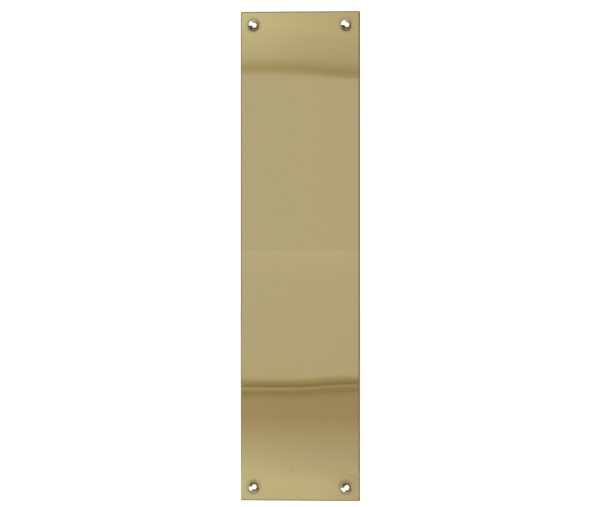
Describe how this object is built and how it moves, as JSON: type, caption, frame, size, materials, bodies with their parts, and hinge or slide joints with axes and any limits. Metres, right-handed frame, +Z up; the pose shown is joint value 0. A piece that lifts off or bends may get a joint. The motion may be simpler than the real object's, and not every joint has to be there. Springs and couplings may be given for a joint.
{
  "type": "door finger plate",
  "caption": "Flat rectangular polished brass finger plate with a countersunk screw hole near each corner, fixed to a door to keep hands off its paint.",
  "frame": {"origin": "middle of the back face, which lies on the door", "axes": "+Z up the length of the plate as fixed on a door, X across its width, the polished front toward -Y, the back face toward +Y at Y = 0"},
  "size_m": [0.076, 0.002, 0.305],
  "materials": {
    "polished_brass": "mirror polished front, plain mill finish back"
  },
  "bodies": {
    "root": {"finger_plate": "polished_brass"}
  },
  "joints": []
}
